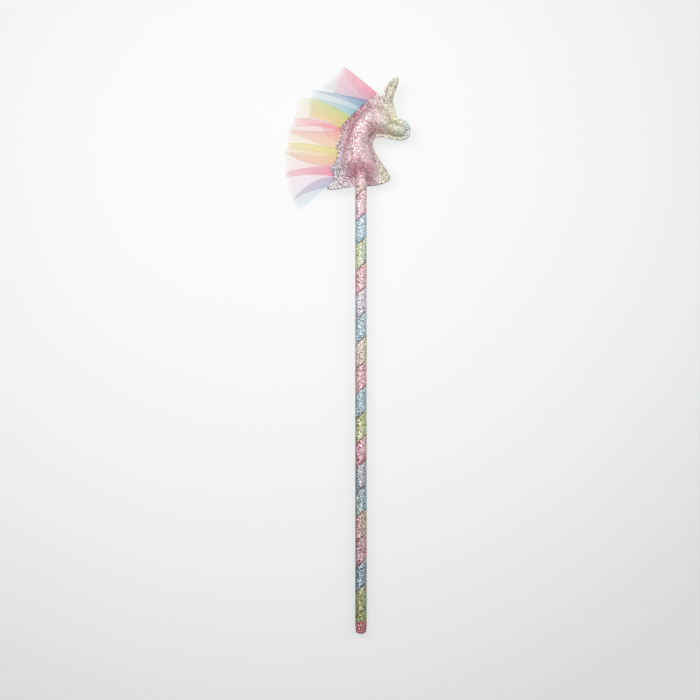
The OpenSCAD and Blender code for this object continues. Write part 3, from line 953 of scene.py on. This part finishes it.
# Lengths of tulle from the poll down, each as the folds that it lies in, in the order along its width. A fold is a
# curve through the place where it leaves the head, its middle and its end at the free edge, in millimetres from the
# point where the stick enters the head, with the dye there. Last comes how dense a ply is at the head and at its end.
TULLE = [
    ("tulle_rose", [
        ((6.5, 73), (-5.5, 81.5), (-15, 98), (236, 122, 148)),
        ((12.5, 78), (-0.2, 88.6), (-13.6, 100), (238, 137, 165)),
        ((4.5, 71.5), (-10, 80.5), (-21.5, 89.5), (241, 170, 204)),
        ((3.5, 70.2), (-11, 75.6), (-23, 77.4), (241, 176, 208)),
        ((12.5, 78), (-0.2, 88.6), (-14, 99.6), (240, 132, 152)),
        # The last fold's dark blue dye tints the rose's lower edge bluish and paints shade along the top edge of the
        # blue length
        ((3.5, 70.5), (-15, 74.5), (-34, 80.5), (64, 90, 136)),
    ], (0.34, 0.155)),
    ("tulle_blue", [
        ((-2.6, 65.5), (-16, 72.2), (-38, 79), (100, 146, 194)),
        ((4.5, 71.8), (-14, 75.8), (-40, 81), (110, 148, 190)),
        ((-9, 58.5), (-24, 67), (-42, 74), (158, 206, 204)),
        ((-4, 64), (-20, 69), (-40, 75), (132, 178, 202)),
    ], (0.62, 0.2)),
    ("tulle_yellow", [
        ((-9, 58), (-27.5, 68), (-47.5, 74.5), (190, 200, 66)),
        ((-12.5, 55.5), (-32.5, 65.5), (-53, 71), (238, 214, 160)),
        ((-18.5, 48), (-34, 55), (-55, 56.5), (242, 190, 160)),
        ((-18.5, 48), (-30, 55), (-43.5, 57.5), (224, 194, 52)),
        ((-9, 58), (-25.5, 67.5), (-42.5, 73.5), (184, 198, 56)),
        ((-18, 49), (-30, 55), (-43.5, 58), (224, 190, 52)),
    ], (0.4, 0.228)),
    ("tulle_coral", [
        ((-21, 37.5), (-24, 39), (-27.5, 40.5), (236, 160, 156)),
        ((-18, 48.2), (-26.5, 51.2), (-35, 53.5), (240, 158, 160)),
        ((-16.8, 44), (-33.5, 49.5), (-55, 50), (241, 148, 157)),
        ((-17, 48.4), (-33, 54.4), (-55, 56.8), (240, 128, 150)),
        ((-21, 30.8), (-40, 37.5), (-60, 46), (238, 194, 172)),
        ((-17.2, 46.4), (-35, 45.6), (-60, 47), (238, 170, 165)),
        ((-21.5, 29.6), (-40.5, 33.8), (-60.5, 35.6), (242, 220, 140)),
    ], (0.35, 0.255)),
    ("tulle_lemon", [
        ((-21.5, 23), (-40, 28), (-60.5, 30.5), (227, 208, 14)),
        ((-21, 31), (-40.5, 35), (-60.5, 36.5), (226, 213, 18)),
        ((-25, 17.5), (-44, 19.5), (-63, 28), (238, 166, 118)),
        ((-22.5, 25), (-42.5, 27), (-63.5, 29), (238, 178, 118)),
    ], (0.42, 0.26)),
    ("tulle_pink", [
        ((-24.5, 18), (-44, 20.5), (-64, 28), (238, 168, 158)),
        ((-23, 8.5), (-44, 9.5), (-62, 7.5), (236, 104, 154)),
        ((-25.5, 17), (-44, 15.5), (-63, 12), (234, 126, 164)),
        ((-23, 8.5), (-44, 10), (-62, 8), (234, 100, 150)),
    ], (0.37, 0.165)),
    ("tulle_lilac", [
        ((-23, 9.6), (-43, 10.4), (-61.8, 8.6), (236, 170, 205)),
        ((-24, 6), (-43, 2.5), (-61, -1), (225, 175, 215)),
        ((-28.5, -1), (-42.5, -4.5), (-55.5, -11), (170, 158, 191)),
        ((-23, 8), (-40.8, 3), (-56.5, -11), (174, 145, 187)),
        ((-27.5, 1.5), (-42.5, -7.5), (-55, -15.5), (140, 180, 205)),
        ((-29, -1.5), (-40, -11), (-51, -19.5), (130, 190, 210)),
    ], (0.31, 0.19)),
]
# How far a length reaches in between the panels, how far its free edge hangs and how deep its folds lie
TUCK = 3.0
MANE_DROOP = 4.5
FOLD_LIFT = 4.2
# Steps across one ply and along a fold
PLY_STEPS = 24
FOLD_STEPS = 28


def fold_point(fold, r):
    """The point at r along a fold: 0 where it leaves the head and 1 at its free end."""
    root, middle, free = (Vector(point) for point in fold[:3])
    return (1 - r) * (1 - 2 * r) * root + 4 * r * (1 - r) * middle + r * (2 * r - 1) * free


def tulle(name, folds, alphas, seed):
    """One length of net, gathered between the panels and fanning out in flat folds."""
    plies = len(folds) - 1
    bm = bmesh.new()
    bmesh.ops.create_grid(bm, x_segments=plies * PLY_STEPS, y_segments=FOLD_STEPS, size=0.5)
    fold_map, cut_map = bm.loops.layers.uv.new("fold"), bm.loops.layers.uv.new("cut")
    reach = max((Vector(fold[2]) - Vector(fold[0])).length for fold in folds)
    tuck = TUCK / reach
    spots = {}
    for vert in bm.verts:
        s = (vert.co.x + 0.5) * plies
        r = (vert.co.y + 0.5) * (1 + tuck) - tuck
        spots[vert.index] = (s, r)
        ply = min(int(s), plies - 1)
        place = fold_point(folds[ply], r).lerp(fold_point(folds[ply + 1], r), s - ply)
        whole = fold_point(folds[ply], 1) - fold_point(folds[ply], 0)
        place += whole * 0.012 * r * noise.noise(Vector((s * 4, seed, 0)))
        loose = max(r, 0)
        z = FOLD_LIFT * (s / plies - 0.4) * (0.05 + 0.95 * loose ** 0.8) - MANE_DROOP * loose ** 2
        z += 0.8 * loose * noise.noise(Vector((s * 1.6, r * 1.5, seed + 10)))
        vert.co = (place.x, place.y, z)
    width = max(
        sum((fold_point(a, r) - fold_point(b, r)).length for a, b in zip(folds, folds[1:])) for r in (0, 0.5, 1)
    )
    for face in bm.faces:
        for loop in face.loops:
            s, r = spots[loop.vert.index]
            loop[fold_map].uv = (s, r)
            loop[cut_map].uv = (s / plies * width * MM, r * reach * MM)
    at_head(bm)
    piece = made(bm, name + "_sheet", net(name + "_net", [fold[3] for fold in folds], *alphas))
    piece.visible_shadow = False
    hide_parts(name)


# The wand

glitter = head_glitter()
stuffed_head = Stuffed(HEAD, CROWN_H)
panel("head_front", "front_panel", 1, stuffed_head, glitter)
back = panel("head_back", "back_panel", -1, stuffed_head, glitter)
thread = thread_look()
stitches("front_stitches", "needle_thread", 1, thread)
stitches("back_stitches", "bobbin_thread", -1, thread)
wound_strip(strip_glitter())
butt_cap(cap_glitter())
for number, (name, folds, alphas) in enumerate(TULLE):
    tulle(name, folds, alphas, number)

fill = fibre()
for node, material in {"dowel": wood(), "stuffing": fill, "horn_stuffing": fill, "glue_bead": glue()}.items():
    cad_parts[node].data.materials.clear()
    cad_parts[node].data.materials.append(material)

# Table, light and camera

# The wand lies on its cap and on the back of its head, a hair above the table
TABLE_HALF = 3.0
HAIR = 0.0002
cap_low, cap_low_y = -STICK_R * MM, 0.006
slope = min((vert.co.z - cap_low) / (vert.co.y - cap_low_y) for vert in back.data.vertices)
bm = bmesh.new()
bmesh.ops.create_grid(bm, x_segments=8, y_segments=8, size=TABLE_HALF)
for vert in bm.verts:
    vert.co.z = cap_low + slope * (vert.co.y - cap_low_y) - HAIR
mesh = bpy.data.meshes.new("table")
bm.to_mesh(mesh)
bm.free()
mesh.materials.append(glowing_table())
table = bpy.data.objects.new("table", mesh)
bpy.context.scene.collection.objects.link(table)


def area_light(name, place, target, size, power):
    light = bpy.data.lights.new(name, "AREA")
    light.shape = "RECTANGLE"
    light.size, light.size_y = size
    light.energy = power
    lamp = bpy.data.objects.new(name, light)
    lamp.location = place
    lamp.rotation_euler = (Vector(target) - Vector(place)).to_track_quat("-Z", "Y").to_euler()
    bpy.context.scene.collection.objects.link(lamp)


area_light("ceiling", place=(-0.3, 1.1, 2.3), target=(-0.3, 1.1, 0), size=(3.6, 2.4), power=47.0)
area_light("right_softbox", place=(1.0, 1.0, 0.9), target=(0, 0.4, 0), size=(0.9, 0.9), power=7.2)
area_light("left_strip", place=(-0.9, 0.8, 1.2), target=(0, 0.4, 0), size=(0.4, 1.2), power=6.4)

world = bpy.data.worlds.new("studio")
world.use_nodes = True
background = world.node_tree.nodes["Background"]
background.inputs["Color"].default_value = (1, 1, 1, 1)
background.inputs["Strength"].default_value = 0.29
bpy.context.scene.world = world
bpy.context.scene.view_settings.view_transform = "Standard"

# The photograph's frame is 700 pixels wide, at 0.83 mm a pixel
FRAME_WIDTH = 700 * 0.83 * MM
FRAME_MIDDLE = (-0.0091, 0.2351)
lens = bpy.data.cameras.new("camera")
lens.sensor_width = 36
lens.lens = 100
camera = bpy.data.objects.new("camera", lens)
camera.location = (*FRAME_MIDDLE, FRAME_WIDTH * lens.lens / lens.sensor_width)
bpy.context.scene.collection.objects.link(camera)
bpy.context.scene.camera = camera
